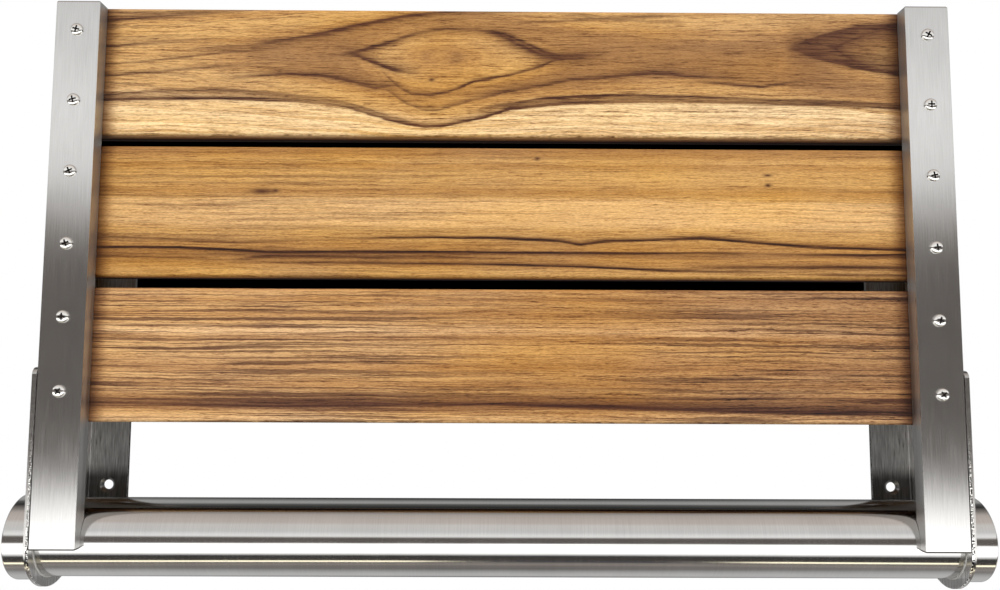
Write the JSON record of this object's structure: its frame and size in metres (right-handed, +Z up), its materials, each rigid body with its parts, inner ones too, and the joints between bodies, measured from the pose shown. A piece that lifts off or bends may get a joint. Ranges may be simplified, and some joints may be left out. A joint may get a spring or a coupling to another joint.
{
  "type": "folding shower seat",
  "caption": "Wall-hung folding shower seat: teak slats screwed to stainless side rails that swing down on a round hinge tube carried by bent wall brackets.",
  "frame": {"origin": "on the wall plane, at the centre of the rectangle of the four outer wall screw holes", "axes": "+X to the right along the hinge tube, +Y into the wall, +Z up; the seat is folded up at rest"},
  "size_m": [0.6572, 0.0851, 0.401],
  "materials": {
    "brushed_stainless": "stainless steel brushed along its length, cut edges left rough",
    "turned_steel": "plain turned stainless steel, hidden inside the hinge",
    "bright_steel": "bright pan head screws",
    "nylon": "natural nylon",
    "friction_lining": "dark friction lining",
    "teak": "oiled teak, planed, with eased edges"
  },
  "bodies": {
    "wall_frame": {"left_wall_bracket": "brushed_stainless", "right_wall_bracket": "brushed_stainless", "left_hinge_bush": "nylon", "right_hinge_bush": "nylon", "left_thrust_washer": "nylon", "right_thrust_washer": "nylon", "left_stop_pin": "turned_steel", "right_stop_pin": "turned_steel", "left_friction_washer": "friction_lining", "right_friction_washer": "friction_lining", "left_hub_cover": "brushed_stainless", "right_hub_cover": "brushed_stainless"},
    "seat": {"hinge_tube": "brushed_stainless", "left_hinge_spindle": "turned_steel", "right_hinge_spindle": "turned_steel", "left_pressure_washer": "turned_steel", "right_pressure_washer": "turned_steel", "left_disc_spring": "turned_steel", "right_disc_spring": "turned_steel", "left_lock_nut": "turned_steel", "right_lock_nut": "turned_steel", "left_side_rail": "brushed_stainless", "right_side_rail": "brushed_stainless", "left_rail_top_cap": "brushed_stainless", "right_rail_top_cap": "brushed_stainless", "left_rail_foot_cap": "brushed_stainless", "right_rail_foot_cap": "brushed_stainless", "front_slat": "teak", "middle_slat": "teak", "rear_slat": "teak", "left_slat_screws": "bright_steel", "right_slat_screws": "bright_steel"}
  },
  "joints": [
    {"name": "seat_fold", "type": "hinge", "parent": "wall_frame", "child": "seat", "pos_m": [0, -0.05, -0.0985], "axis": [1, 0, 0], "range_deg": [0, 90]}
  ]
}
